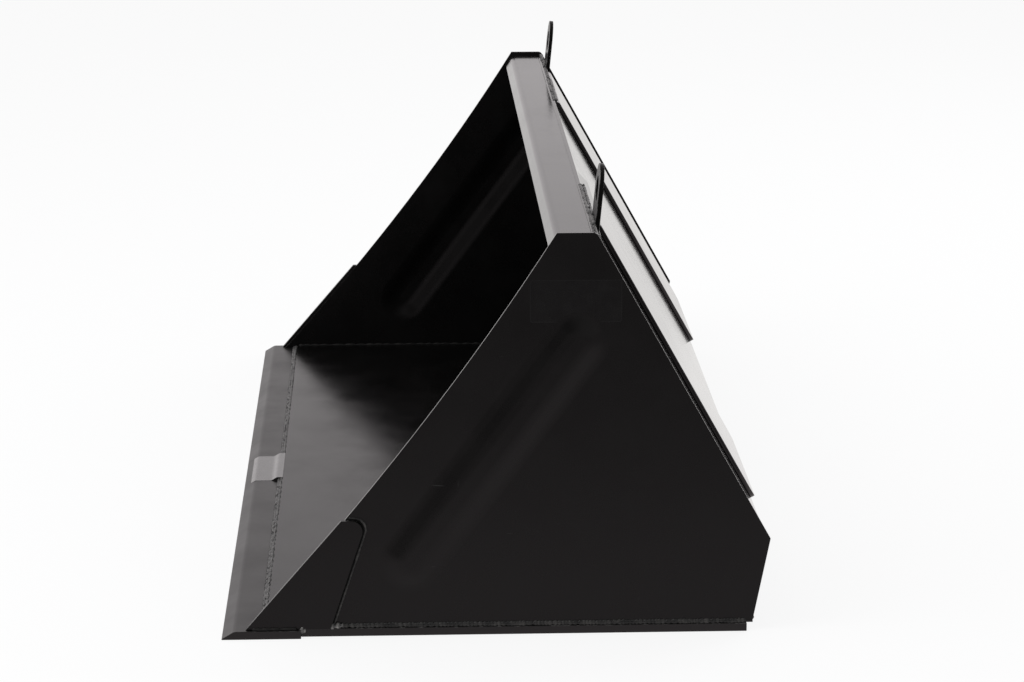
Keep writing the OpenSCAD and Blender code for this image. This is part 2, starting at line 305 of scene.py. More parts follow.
def weld_metal(name, body=0.006, rough=0.34, bare_and_highlight=0.035, gloss=0.4, pits=0.0):
    """Weld beads under thin paint: rough skin, a painted highlight on the crests, and dark toes.

    pits is the share of dark hollows, painted nearly black as shade inside them.
    """
    material, tree, shader = new_finish(name, gloss)
    skin_scale, patch_scale, pit_stretch = 700.0, 45.0, (60.0, 200.0, 200.0)
    skin_range, patch_range = (0.3, 0.7), (0.42, 0.62)
    crest_range, pit_range = (0.35, 0.95), (0.56, 0.62)
    dark_share, light_share, smoother, rougher = 0.5, 1.6, 0.1, 0.16
    highlight_warmth, highlight_metal, pit_rough, pit_depth = 0.04, 0.5, 0.5, 2.5
    bump, bump_height = 0.6, 0.8 * MM
    skin = noise_of(tree, skin_scale, detail=4.0, rough=0.65)
    patch = spread(tree, noise_of(tree, patch_scale, detail=4.0, rough=0.7), *patch_range)
    # Painted highlight: the crests are lightened and made partly metallic where light would catch
    # them
    lit = maths(tree, "MULTIPLY", spread(tree, attribute(tree, "crest"), *crest_range), patch)
    # Painted shade: the hollows are painted nearly black, as shade would fall in them
    hollow = noise_of(tree, 1.0, detail=3.0, rough=0.6, stretch=pit_stretch)
    hollow = maths(tree, "MULTIPLY", spread(tree, hollow, *pit_range), pits)

    dark, light = grey(body * dark_share), grey(body * light_share)
    colour = mix_colour(tree, spread(tree, skin, *skin_range), dark, light)
    colour = mix_colour(tree, lit, colour, grey(bare_and_highlight, highlight_warmth))
    tree.links.new(mix_colour(tree, hollow, colour, PIT_SHADE_COLOUR), shader.inputs["Base Color"])

    gritty = spread(tree, skin, *skin_range, rough - smoother, rough + rougher)
    gritty = maths(tree, "ADD", gritty, maths(tree, "MULTIPLY", hollow, pit_rough))
    tree.links.new(gritty, shader.inputs["Roughness"])
    tree.links.new(maths(tree, "MULTIPLY", lit, highlight_metal), shader.inputs["Metallic"])

    height = maths(tree, "SUBTRACT", skin, maths(tree, "MULTIPLY", hollow, pit_depth))
    link_bump(tree, shader, height, bump, bump_height)
    return material


def clear_film(name, gloss=0.17, rough=0.26, coat=0.0):
    """Clear self-adhesive film over black paint.

    It has a faint haze, trapped specks, and dust along its rim.
    """
    material, tree, shader = new_finish(name, gloss, WARM_GLOSS)
    haze_scale, speck_scale = 30.0, 520.0
    haze_range, speck_range = (0.3, 0.7), (0.70, 0.76)
    clear_body, hazy_body, rim_share, rough_spread = 0.003, 0.005, 0.8, 0.08
    coat_rough, bump, bump_height = 0.12, 0.25, 0.3 * MM
    shader.inputs["Coat Weight"].default_value = coat
    shader.inputs["Coat Roughness"].default_value = coat_rough
    haze = noise_of(tree, haze_scale, detail=4.0, rough=0.6)
    specks = spread(tree, noise_of(tree, speck_scale, detail=2.0), *speck_range)
    rim = maths(tree, "MULTIPLY", attribute(tree, "edge"), rim_share)

    hazy = spread(tree, haze, *haze_range)
    colour = mix_colour(tree, hazy, grey(clear_body), grey(hazy_body))
    colour = mix_colour(tree, specks, colour, SPECK_COLOUR)
    colour = mix_colour(tree, rim, colour, RIM_DUST_COLOUR)
    tree.links.new(colour, shader.inputs["Base Color"])
    half = rough_spread / 2
    matt = spread(tree, haze, *haze_range, rough - half, rough + half)
    tree.links.new(matt, shader.inputs["Roughness"])
    link_bump(tree, shader, haze, bump, bump_height)
    return material


PLATE_PAINT = painted_steel("plate_paint", specular=0.165, rough=0.28, wear=0.34)
RIM_PAINT = painted_steel(
    "rim_paint", body=0.01, specular=0.7, rough=0.16, rough_spread=0.04, wear=0.2
)
SHEET_PAINT = painted_steel(
    "sheet_paint", specular=0.44, rough=0.09, rough_spread=0.03, wave=0.3, peel=0.1, dust=0.01
)
BEAM_PAINT = painted_steel(
    "beam_paint", specular=0.46, rough=0.13, rough_spread=0.07, wave=1.3, peel=0.2
)
FLOOR_PAINT = painted_steel(
    "floor_paint", body=0.002, specular=0.26, rough=0.21, wave=0.3, scratches=0.2, bump=0.04,
    dust=0.008,
)
EDGE_PAINT = painted_steel(
    "edge_paint", specular=0.28, rough=0.32, wear=0.5, scratches=0.7, bare_and_highlight=0.12
)
EYE_PAINT = painted_steel(
    "eye_paint", body=0.002, specular=0.06, rough=0.26, wear=0.5, bare_and_highlight=0.2
)
# Each weld finish below paints a highlight on its beads' crests
PAINTED_WELD = weld_metal("painted_weld", body=0.004, rough=0.36, bare_and_highlight=0.05, gloss=0.3)
DULL_WELD = weld_metal("dull_weld", body=0.003, rough=0.46, bare_and_highlight=0.02, gloss=0.17)
# Near-black weld finish that paints the shade along the wear plates' toes
TOE_SHADE_WELD = weld_metal("painted_toe_shade", body=0.0015, rough=0.55, bare_and_highlight=0.004, gloss=0.08)
SEAM_WELD = weld_metal("seam_weld", body=0.03, rough=0.34, bare_and_highlight=0.08, gloss=0.5, pits=0.8)
OPEN_WELD = weld_metal("open_weld", body=0.03, rough=0.36, bare_and_highlight=0.12, gloss=0.5, pits=1.0)
# Weld finish whose crests are painted near white, as glints on the weld stops
GLINT_WELD = weld_metal("painted_glint_weld", body=0.02, rough=0.3, bare_and_highlight=0.3, gloss=0.5)
PLATE_FILM = clear_film("plate_film")
EDGE_FILM = clear_film("edge_film", gloss=0.5, rough=0.24, coat=0.6)


# ---------------------------------------------------------------- meshes
# Points nearer than this become one, and faces that turn less than this become one flat face
MERGE_MM, FLAT_DEGREES = 0.01, 0.5
# More than the angle between any two faces
ANY_DEGREES = 181.0


def keep(bm, name, materials, replaced=(), smooth=35.0):
    """Turns a bmesh into a piece that rides on the bucket.

    Edges sharper than smooth, in degrees, stay crisp, and 0 leaves none crisp.
    """
    bmesh.ops.recalc_face_normals(bm, faces=bm.faces)
    mesh = bpy.data.meshes.new(name)
    bm.to_mesh(mesh)
    bm.free()
    for material in materials:
        mesh.materials.append(material)
    piece = bpy.data.objects.new(name, mesh)
    bpy.context.collection.objects.link(piece)
    mesh.shade_smooth()
    if smooth:
        mesh.set_sharp_from_angle(angle=math.radians(smooth))
        # The wide faces keep their own normals, and the narrow rounded strips between them turn
        even = piece.modifiers.new("even_faces", "WEIGHTED_NORMAL")
        even.keep_sharp = True
    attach(piece, "root")
    if replaced:
        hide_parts(*replaced)
    return piece


def node_bmesh(node):
    """Merged copy of a CAD node's mesh, with its flat faces in one piece each."""
    bm = bmesh.new()
    bm.from_mesh(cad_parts[node].data)
    bmesh.ops.remove_doubles(bm, verts=bm.verts, dist=MERGE_MM * MM)
    bmesh.ops.recalc_face_normals(bm, faces=bm.faces)
    flat = math.radians(FLAT_DEGREES)
    bmesh.ops.dissolve_limit(bm, angle_limit=flat, verts=bm.verts, edges=bm.edges)
    return bm


def round_edges(bm, width, low=30.0, high=ANY_DEGREES, segments=2, mark=True, clamp=True,
                sideways=0.0):
    """Bevels the edges whose faces meet at an angle between low and high degrees.

    width is in millimetres. mark sets the attribute edge on the middle of each bevel, and
    sideways is the least share of X in both faces' normals.
    """
    edge = bm.verts.layers.float.get("edge") or bm.verts.layers.float.new("edge")
    chosen = [
        e for e in bm.edges
        if len(e.link_faces) == 2 and low < math.degrees(e.calc_face_angle(0.0)) < high
        and all(abs(f.normal.x) >= sideways for f in e.link_faces)
    ]
    made = bmesh.ops.bevel(
        bm, geom=chosen, offset=width * MM, offset_type="OFFSET", segments=segments,
        profile=0.5, affect="EDGES", clamp_overlap=clamp, material=-1,
    )
    if mark:
        new_faces = set(made["faces"])
        for v in made["verts"]:
            v[edge] = 1.0 if all(f in new_faces for f in v.link_faces) else 0.0


def dressed(node, material, width):
    """The CAD node with its cut edges broken, as paint over sheared and ground steel shows them."""
    bm = node_bmesh(node)
    round_edges(bm, width)
    return keep(bm, node + "_finished", [material], [node])


def ripple(place, pitch, depth, seed):
    """Height share of a weld bead at a distance along it: overlapping scales with uneven pitch."""
    drift_pitches, drift_height, roundness = 5, 1.3, 1.6
    lump_pitches, lump_height, lump_seed = 2.3, 0.22, 7.0
    drift = noise.noise(Vector((place / pitch / drift_pitches, seed, 0.0))) * drift_height
    phase = (place / pitch + drift) % 1.0
    scale = 1.0 - abs(2.0 * phase - 1.0) ** roundness
    lump = noise.noise(Vector((place / pitch / lump_pitches, seed + lump_seed, 3.0)))
    return 1.0 - depth + depth * scale + lump_height * lump


def rounded_corner(before, corner, after, radius, steps=6):
    """Points of the arc that rounds a corner."""
    back, on = (before - corner).normalized(), (after - corner).normalized()
    half = back.angle(on) / 2
    middle = corner + (back + on).normalized() * radius / math.sin(half)
    start = corner + back * radius / math.tan(half) - middle
    end = corner + on * radius / math.tan(half) - middle
    return [middle + start.slerp(end, k / steps).normalized() * radius for k in range(steps + 1)]


def point_on(path, place):
    """Point at a distance along a path, and the way that it runs there."""
    for a, b in zip(path, path[1:]):
        length = (b - a).length
        if place <= length or b is path[-1]:
            return a + (b - a) * (place / length), (b - a) / length
        place -= length


BEAD_SIDES, RINGS_PER_RIPPLE, LEAST_RINGS = 12, 4, 8
# How far the ripples bow along the bead, as a share of their pitch
RIPPLE_BOW = 0.28
# Length of a bead's round ends, and sway of its line, as shares of its radius
END_ROUND, SWAY = 0.9, 0.12
SWAY_PITCHES = 9
# Each end closes to a point a little before the path's end, and its points are merged
TINY_MM = 0.001


def weld_bead(path, radius, out, pitch, depth, seed, flat=1.0):
    """One rippled bead along a path. radius and pitch are in millimetres.

    out is the way it stands out most, and flat its share of that radius sideways. depth is how
    deep the ripples are, as a share of the radius.
    """
    radius, pitch = radius * MM, pitch * MM
    total = sum((b - a).length for a, b in zip(path, path[1:]))
    out = Vector(out).normalized()
    rings = max(LEAST_RINGS, int(total / pitch * RINGS_PER_RIPPLE))
    bm = bmesh.new()
    crest = bm.verts.layers.float.new("crest")
    bmesh.ops.create_grid(bm, x_segments=rings, y_segments=BEAD_SIDES, size=0.5)
    for v in bm.verts:
        place, turn = (v.co.x + 0.5) * total, (v.co.y + 0.5) * math.tau
        side, rise = math.cos(turn), math.sin(turn)
        share = ripple(place + RIPPLE_BOW * pitch * (1 - side * side), pitch, depth, seed)
        left_over = min(place, total - place) - TINY_MM * MM
        fade = math.sqrt(max(0.0, min(1.0, left_over / (END_ROUND * radius))))
        sway = SWAY * noise.noise(Vector((place / pitch / SWAY_PITCHES, seed, 5.0)))
        # crest marks the bead's outer top, where the weld finishes paint their highlight
        v[crest] = max(0.0, min(1.0, share)) * max(0.0, rise)
        point, along = point_on(path, place)
        wide = along.cross(out).normalized()
        v.co = point + (out * rise + wide * (side + sway) * flat) * radius * share * fade
    bmesh.ops.remove_doubles(bm, verts=bm.verts, dist=TINY_MM * MM)
    return bm


def weld_seam(name, node, beads, metal=PAINTED_WELD):
    """Several beads as one piece, which may stand for a CAD node."""
    whole = beads[0]
    for bead in beads[1:]:
        mesh = bpy.data.meshes.new("bead")
        bead.to_mesh(mesh)
        bead.free()
        whole.from_mesh(mesh)
        bpy.data.meshes.remove(mesh)
    return keep(whole, name, [metal], [node] if node else (), smooth=0)


def across(low, high, y, z):
    """Path over the width of a box, at a place and height in metres."""
    return [Vector((low[0], y, z)), Vector((high[0], y, z))]


def lengthwise(low, high, x, z):
    """Path over the length of a box, at a side place and height in metres."""
    return [Vector((x, low[1], z)), Vector((x, high[1], z))]


def at_side(x, places):
    """Path at a side place, through places behind the toe and above the ground."""
    return [spot(x, *place) for place in places]


# ---------------------------------------------------------------- clear films
FILM_THICK_MM, FILM_RIM_MM = 0.25, 1.4
PLATE_FILM_MM, PLATE_FILM_CORNER_MM = (159, 75), 4
PLATE_FILM_AT = spot(HALF_WIDTH_MM, 623.5, 604.5)
# Width of the film on the cutting edge, its middle, and how far it runs back
EDGE_FILM_WIDTH_MM, EDGE_FILM_X_MM = 175, 12.5
EDGE_FILM_FRONT_MM, EDGE_FILM_REAR_MM = 13.0, 78.0
# Height of the bar's blunt toe, length of its bevel, and the film's climb over the floor's seam
BLUNT_TOE_MM, BEVEL_MM = 2.0, 22.0
CLIMB_FROM_MM, CLIMB_RUN_MM, CLIMB_MM = 53.0, 15.0, 6.8


def lift_film(bm):
    """Gives a flat film its thickness, and a narrow rim marked as edge."""
    edge = bm.verts.layers.float.new("edge")
    made = bmesh.ops.extrude_face_region(bm, geom=bm.faces[:])
    lifted = [part for part in made["geom"] if isinstance(part, bmesh.types.BMVert)]
    bmesh.ops.translate(bm, vec=(0, 0, FILM_THICK_MM * MM), verts=lifted)
    for v in bm.verts:
        v[edge] = 1.0
    top = [part for part in made["geom"] if isinstance(part, bmesh.types.BMFace)]
    bmesh.ops.inset_region(bm, faces=top, thickness=FILM_RIM_MM * MM, use_even_offset=True)
    for v in {v for face in top for v in face.verts}:
        v[edge] = 0.0


def plate_film():
    """Clear film with round corners on the left side plate, in its upper corner."""
    width, height = PLATE_FILM_MM
    bm = bmesh.new()
    bmesh.ops.create_grid(bm, x_segments=1, y_segments=1, size=0.5)
    bmesh.ops.scale(bm, vec=(width * MM, height * MM, 1), verts=bm.verts)
    bmesh.ops.bevel(
        bm, geom=bm.verts[:], offset=PLATE_FILM_CORNER_MM * MM, offset_type="OFFSET", segments=5,
        profile=0.5, affect="VERTICES", material=-1,
    )
    lift_film(bm)
    # Stood up on the plate's outer face: its width runs back and its height up
    turn = Matrix(((0, 0, 1), (1, 0, 0), (0, 1, 0))).to_4x4()
    bmesh.ops.transform(bm, matrix=Matrix.Translation(PLATE_FILM_AT) @ turn, verts=bm.verts)
    return keep(bm, "plate_film", [PLATE_FILM], smooth=30.0)


def edge_film():
    """Clear film laid over the cutting edge's bevel and top, and up over the seam to the floor."""
    front, rear = EDGE_FILM_FRONT_MM, EDGE_FILM_REAR_MM
    bm = bmesh.new()
    bmesh.ops.create_grid(bm, x_segments=1, y_segments=24, size=0.5)
    bmesh.ops.scale(bm, vec=(EDGE_FILM_WIDTH_MM * MM, (rear - front) * MM, 1), verts=bm.verts)
    bmesh.ops.translate(bm, vec=spot(EDGE_FILM_X_MM, (front + rear) / 2, 0), verts=bm.verts)
    lift_film(bm)
    for v in bm.verts:
        behind = v.co.y / MM + TOE_MM
        bar = BLUNT_TOE_MM + (EDGE_TOP_MM - BLUNT_TOE_MM) * min(1.0, behind / BEVEL_MM)
        # Only the upper side climbs over the seam, so that no gap shows under the film
        over = max(0.0, min(1.0, (behind - CLIMB_FROM_MM) / CLIMB_RUN_MM)) if v.co.z > 0 else 0.0
        v.co.z += (bar + CLIMB_MM * over * over * (3 - 2 * over)) * MM
    return keep(bm, "edge_film", [EDGE_FILM], smooth=20.0)


# ---------------------------------------------------------------- plates
# The back's way down, its way out, and its top corner
SLOPE = Vector((0, 311, -555)).normalized()
SLOPE_OUT = Vector((0, 555, 311)).normalized()
SLOPE_TOP = spot(0, 659, 725)
# Height of the bent strip at the back's top, its rise, and the depth that still belongs to it
STRIP_MM, STRIP_RISE_MM, STRIP_DEPTH_MM = 57, 2.0, 7
# The side plates' faces have at least this share of X in their normals
FACE_SHARE = 0.9
FACE_INDEX, RIM_INDEX = 0, 1
BEAM_THICK_MM, FOLD_RADIUS_MM = 4.0, 16.0
# Depth in the beam's sheet and distance from its corner at which the small folds' points lie
OUTER_DEPTH_MM, OUTER_REACH_MM = 2, 6
INNER_DEPTH_MM, INNER_REACH_MM = 3.5, 4
FOLD_TOUCH_MM = 0.05
# Reach of a pad's top end, the share of it that is bevelled, and the skin that counts as outside
PAD_END_MM, PAD_END_SHARE, PAD_SKIN_MM = 18.1, 0.7, 1
# Length of the bevel at each pad's lower end
PAD_BEVEL_MM = {"left": 36, "right": 12}


def cutting_edge():
    """Cutting edge whose bevel runs softly into its top, worn along its corners."""
    bm = node_bmesh("cutting_edge")
    round_edges(bm, width=4, low=20.0, high=45.0, segments=4, mark=False)
    round_edges(bm, width=0.8, low=50.0)
    return keep(bm, "cutting_edge_finished", [EDGE_PAINT], ["cutting_edge"])


def side_plate(side_name):
    """Side plate with the bead's creases drawn out into smooth curves."""
    node = "side_plate_" + side_name
    paints = [PLATE_PAINT, RIM_PAINT]
    bm = node_bmesh(node)
    round_edges(
        bm, width=9, low=8.0, high=30.0, segments=6, mark=False, clamp=False, sideways=FACE_SHARE
    )
    round_edges(bm, width=0.7, low=40.0)
    # The sheared rims shine more than the rolled faces
    for face in bm.faces:
        face.material_index = RIM_INDEX if abs(face.normal.x) < FACE_SHARE else FACE_INDEX
    return keep(bm, node + "_finished", paints, [node], smooth=30.0)


def back_plate():
    """Back plate whose top strip stands out a little, as the sheet was bent there."""
    strip = STRIP_MM * MM
    bm = node_bmesh("back_plate")
    bmesh.ops.bisect_plane(
        bm, geom=bm.verts[:] + bm.edges[:] + bm.faces[:], dist=MERGE_MM * MM,
        plane_co=SLOPE_TOP + SLOPE * strip, plane_no=SLOPE,
    )
    for v in bm.verts:
        down = (v.co - SLOPE_TOP).dot(SLOPE)
        if down < strip and (v.co - SLOPE_TOP).dot(SLOPE_OUT) > -STRIP_DEPTH_MM * MM:
            v.co += SLOPE_OUT * STRIP_RISE_MM * MM * (1 - down / strip)
    round_edges(bm, width=0.6, low=60.0)
    paints, replaced = [SHEET_PAINT], ["back_plate"]
    return keep(bm, "back_plate_finished", paints, replaced, smooth=20.0)


def top_beam():
    """Beam whose front fold is drawn out wider than the tool's nose."""
    level, ahead, upward = 0.99, -0.5, 0.2
    bm = node_bmesh("top_beam")
    tops = [f for f in bm.faces if f.normal.z > level]
    fronts = [f for f in bm.faces if f.normal.y < ahead and f.normal.z > upward]
    top = max(tops, key=lambda f: f.calc_area())
    front = max(fronts, key=lambda f: f.calc_area())
    top_z = top.verts[0].co.z
    on_front, lean = front.verts[0].co.copy(), front.normal.copy()
    corner = Vector((0, on_front.y - lean.z * (top_z - on_front.z) / lean.y, top_z))
    half_turn = front.normal.angle(top.normal) / 2
    middle = (top.normal + front.normal).normalized()
    inside = middle * BEAM_THICK_MM * MM / math.cos(half_turn)
    # The small curves go back to their corners first, and the wide ones are rolled from those
    for v in bm.verts:
        from_corner = Vector((0, v.co.y, v.co.z)) - corner
        depth = min(top_z - v.co.z, (on_front - v.co).dot(lean))
        if depth < OUTER_DEPTH_MM * MM and from_corner.length < OUTER_REACH_MM * MM:
            v.co.yz = corner.yz
            continue
        from_inside = from_corner + inside
        if depth > INNER_DEPTH_MM * MM and from_inside.length < INNER_REACH_MM * MM:
            v.co.yz = (corner - inside).yz
    bmesh.ops.remove_doubles(bm, verts=bm.verts, dist=MERGE_MM * MM)
    folds = ((corner, FOLD_RADIUS_MM), (corner - inside, FOLD_RADIUS_MM - BEAM_THICK_MM))
    for place, radius in folds:
        fold = [
            e for e in bm.edges
            if all((v.co.yz - place.yz).length < FOLD_TOUCH_MM * MM for v in e.verts)
        ]
        bmesh.ops.bevel(
            bm, geom=fold, offset=radius * math.tan(half_turn) * MM, offset_type="OFFSET",
            segments=8, profile=0.5, affect="EDGES", clamp_overlap=False, material=-1,
        )
    round_edges(bm, width=0.6, low=60.0)
    return keep(bm, "top_beam_finished", [BEAM_PAINT], ["top_beam"])


def mounting_pad(side_name):
    """Pad with its top end bevelled for the weld, and with long round corners below."""
    node = "mounting_pad_" + side_name
    skin = PAD_SKIN_MM * MM
    bm = node_bmesh(node)
    end = max(v.co.dot(SLOPE) for v in bm.verts)
    start = min(v.co.dot(SLOPE) for v in bm.verts)
    face = max(v.co.dot(SLOPE_OUT) for v in bm.verts)
    for v in bm.verts:
        left_over = end - v.co.dot(SLOPE)
        if left_over < PAD_END_MM * MM:
            v.co -= SLOPE * left_over * PAD_END_SHARE
        elif v.co.dot(SLOPE) < start + skin and v.co.dot(SLOPE_OUT) > face - skin:
            v.co += SLOPE * PAD_BEVEL_MM[side_name] * MM
    round_edges(bm, width=1.0)
    return keep(bm, node + "_finished", [SHEET_PAINT], [node])


def show_plates():
    """All plates, bars and eyes, and the two films."""
    cutting_edge()
    back_plate()
    dressed("floor_plate", FLOOR_PAINT, width=0.6)
    top_beam()
    for side_name in ("left", "right"):
        side_plate(side_name)
        dressed("wear_plate_" + side_name, PLATE_PAINT, width=1.0)
        mounting_pad(side_name)
        dressed("lifting_eye_" + side_name, EYE_PAINT, width=1.0)
        dressed("skid_" + side_name, EDGE_PAINT, width=1.0)
    plate_film()
    edge_film()


# ---------------------------------------------------------------- welds
# Passes of the floor's front seam: place from its middle, height, radius and pitch
FLOOR_PASSES_MM = ((-2.2, 16.4, 3.7, 24), (1.9, 18.4, 3.4, 31))
# Rear edge of the wear plates, behind the toe and above the ground: foot, corner and front end
WEAR_EDGE_MM = ((193.5, 17.0), (259.5, 215.5), (221.0, 215.5))
WEAR_CORNER_RADIUS_MM = 20
WEAR_BEAD_SHIFT_MM = Vector((0, 4.0, 1.0))
# Short runs of the wear plates, behind the toe and above the ground
WEAR_END_MM = ((221, 212), (243, 209))
PLATE_STOP_MM = ((188, 17), (216, 20))
BAR_FOOT_MM = ((52, 16), (134, 16))
BAR_STOP_MM = ((132, 16), (150, 12))
# Side places of the runs on the bar
BAR_FOOT_X_MM, BAR_STOP_X_MM = 1010, 1006
# The right pad is welded over most of its width, and the left one over the half beside its eye
PAD_SEAM_MM = {LEFT: (542, 806), RIGHT: (-650, -370)}
# Passes of the pads' welds: behind the toe, height, lean to the rear and pitch
PAD_PASSES_MM = ((657.5, 717.3, -0.1, 19), (663.0, 717.6, 0.4, 23))
# Ends of the short bead that paints the shade on the right pad's unwelded end
PAD_SHADE_BEAD_MM = ((-805, 660, 717), (-655, 660, 717))
EYE_SEAM_TOP_MM, CORNER_X_MM = 717.5, 990
# How far the beads' middles lie inside the boxes of the CAD welds
HEEL_INSET_MM, OUTER_INSET_MM = 1, 3.5
EYE_FRONT_INSET_MM, EYE_REAR_INSET_MM, EYE_FOOT_INSET_MM = 3.5, 2, 4.5
# Start of the run from an eye to the corner: beside the eye's weld, and ahead of its front bead
RUN_GAP_MM, RUN_SHIFT_MM = 3, 2


def show_seams():
    """Welds across the bucket: the floor's front edge in two passes, and the heel."""
    low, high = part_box("floor_seam_weld")
    middle = (low[1] + high[1]) / 2
    weld_seam("floor_seam", "floor_seam_weld", [
        weld_bead(
            across(low, high, middle + place * MM, height * MM), radius=radius, out=(0, -0.2, 1),
            flat=1.2, pitch=pitch, depth=0.55, seed=2.0 + place,
        )
        for place, height, radius, pitch in FLOOR_PASSES_MM
    ], SEAM_WELD)
    low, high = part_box("heel_weld")
    inset = HEEL_INSET_MM * MM
    weld_seam("heel_seam", "heel_weld", [
        weld_bead(
            across(low, high, high[1] - inset, low[2] + inset), radius=5, out=(0, 0.8, 0.6),
            pitch=8, depth=0.35, seed=3.0,
        )
    ])


def show_bottom_welds(side, name):
    """Welds along the foot of one side plate, outside and inside."""
    low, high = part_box("outer_weld_" + name)
    x, z = (low[0] if side > 0 else high[0]), low[2] + OUTER_INSET_MM * MM
    weld_seam("outer_seam_" + name, "outer_weld_" + name, [
        weld_bead(
            lengthwise(low, high, x, z), radius=4.2, out=(side, 0, 0.35), flat=1.5, pitch=7,
            depth=0.45, seed=4.0 + side,
        )
    ])
    low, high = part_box("inner_weld_" + name)
    x = high[0] if side > 0 else low[0]
    weld_seam("inner_seam_" + name, "inner_weld_" + name, [
        weld_bead(
            lengthwise(low, high, x, low[2]), radius=4, out=(-side, 0, 0.8), pitch=23,
            depth=0.7, seed=6.0 + side,
        )
    ], DULL_WELD)


def show_wear_welds(side, name):
    """Welds round one wear plate: painted toe shade, the bead itself, its foot, painted glints on
    the stops.
    """
    face = side * HALF_WIDTH_MM
    foot, corner, front = (spot(face, *place) for place in WEAR_EDGE_MM)
    arc = rounded_corner(foot, corner, front, WEAR_CORNER_RADIUS_MM * MM)
    edge = [foot] + arc + [front]
    beside_edge = [point + WEAR_BEAD_SHIFT_MM * MM for point in edge]
    end, plate_stop = at_side(face + side, WEAR_END_MM), at_side(face + side, PLATE_STOP_MM)
    bar_foot = at_side(side * BAR_FOOT_X_MM, BAR_FOOT_MM)
    bar_stop = at_side(side * BAR_STOP_X_MM, BAR_STOP_MM)
    # Painted shade: a dark bead along the wear plate's edge stands in for the shade in the toe
    # there
    weld_seam("wear_toe_shade_" + name, None, [
        weld_bead(edge, radius=3.0, out=(side, 0, 0), pitch=13, depth=0.2, seed=19.0 + side)
    ], TOE_SHADE_WELD)
    weld_seam("wear_seam_" + name, "wear_weld_" + name, [
        weld_bead(beside_edge, radius=3.2, out=(side, 0, 0), pitch=9, depth=0.3, seed=8.0 + side),
        weld_bead(
            end, radius=5, out=(side, 0, 0), flat=0.9, pitch=8, depth=0.5, seed=9.0 + side
        ),
    ])
    weld_seam("wear_foot_" + name, None, [
        weld_bead(bar_foot, radius=4.2, out=(side, 0, 0.6), pitch=15, depth=0.3, seed=11.0 + side)
    ], DULL_WELD)
    # Painted glints: the stops' crests are painted bright
    weld_seam("wear_stops_" + name, None, [
        weld_bead(
            plate_stop, radius=6.5, out=(side, 0, 0.2), pitch=11, depth=0.6, seed=10.0 + side
        ),
        weld_bead(
            bar_stop, radius=7.5, out=(side, 0.2, 0.2), flat=1.1, pitch=9, depth=0.5,
            seed=12.0 + side,
        ),
    ], GLINT_WELD)


def show_top_welds(side, name):
    """Welds of one side along the top: the pad on to the beam, and the eye's foot."""
    start, end = PAD_SEAM_MM[side]
    weld_seam("pad_seam_" + name, "pad_weld_" + name, [
        weld_bead(
            [spot(start, y, z), spot(end, y, z)], radius=3.2, out=(0, lean, 1), flat=1.1,
            pitch=pitch, depth=0.6, seed=13.0 + side + lean,
        )
        for y, z, lean, pitch in PAD_PASSES_MM
    ], OPEN_WELD)
    # Painted shade: a short bead on the right pad's unwelded end darkens it where it lies in shade
    if side == RIGHT:
        weld_seam("pad_end_shade_" + name, None, [
            weld_bead(
                [spot(*place) for place in PAD_SHADE_BEAD_MM], radius=3.6, out=(0, 0.3, 1), flat=1.2,
                pitch=21, depth=0.3, seed=18.0,
            )
        ])
    low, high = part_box("eye_weld_" + name)
    top = EYE_SEAM_TOP_MM * MM
    front = low[1] + EYE_FRONT_INSET_MM * MM
    rear, foot = high[1] - EYE_REAR_INSET_MM * MM, low[2] + EYE_FOOT_INSET_MM * MM
    run_start = (high[0] if side > 0 else low[0]) + side * RUN_GAP_MM * MM
    ahead = front - RUN_SHIFT_MM * MM
    to_corner = [Vector((run_start, ahead, top)), Vector((side * CORNER_X_MM * MM, ahead, top))]
    weld_seam("eye_seam_" + name, "eye_weld_" + name, [
        weld_bead(
            across(low, high, front, top), radius=4.8, out=(0, -0.3, 1), flat=1.3, pitch=19,
            depth=0.6, seed=15.0 + side,
        ),
        weld_bead(
            across(low, high, rear, foot), radius=4, out=(0, 0.8, 0.6), pitch=7, depth=0.35,
            seed=16.0 + side,
        ),
        weld_bead(
            to_corner, radius=4.6, out=(0, 0, 1), flat=1.1, pitch=26, depth=0.75,
            seed=17.0 + side,
        ),
    ], OPEN_WELD)


def show_welds():
    """All weld seams."""
    show_seams()
    for side, name in ((LEFT, "left"), (RIGHT, "right")):
        show_bottom_welds(side, name)
        show_wear_welds(side, name)
        show_top_welds(side, name)


# ---------------------------------------------------------------- surroundings
# Directions from where the dark side of the hall begins to where it is fully dark
HALL_X, HALL_Z, HALL_GREY = (0.1, 0.6), (-0.02, 0.12), 0.1
HALL_REAR_Y, HALL_REAR_GREY = (-0.25, 0.2), 0.6
MIRRORED_WALL = (1.0, 0.96, 0.968, 1.0)
MIRRORED_FLOOR = (1.0, 0.985, 0.972, 1.0)
UPPER_WALL_Z, UPPER_WALL_SHARE = (0.02, 0.18), 0.88
LIGHT_FROM_AROUND = 0.75

FLOOR_HALF_SIZE = 40.0
FLOOR_COLOUR = (0.82, 0.82, 0.83, 1)
FLOOR_SEEN_SHARE = 0.85
# Metres along the floor between which its mirrored glow, a painted light, changes, and the share
# that is left of it at the side, and that is taken off it as painted shade farther out and behind
SIDE_X, SIDE_SHARE = (1.4, 2.3), 0.66
FAR_SIDE_X, FAR_SIDE_LOSS = (2.3, 3.6), 0.28
BEHIND_X, BEHIND_Y, BEHIND_LOSS = (-1.0, -1.6), (0.0, 0.5), 0.11
WALL_TINT_X = (-0.5, 1.0)

# Name, place, aim, size and power of each lamp, in metres and watts
LAMPS = (
    ("key_light", (1.5, -3.5, 4.5), (0, 0, 0.3), 3.0, 120.0),
    ("back_light", (-2.5, 3.5, 4.0), (0, 0.2, 0.4), 3.0, 90.0),
)


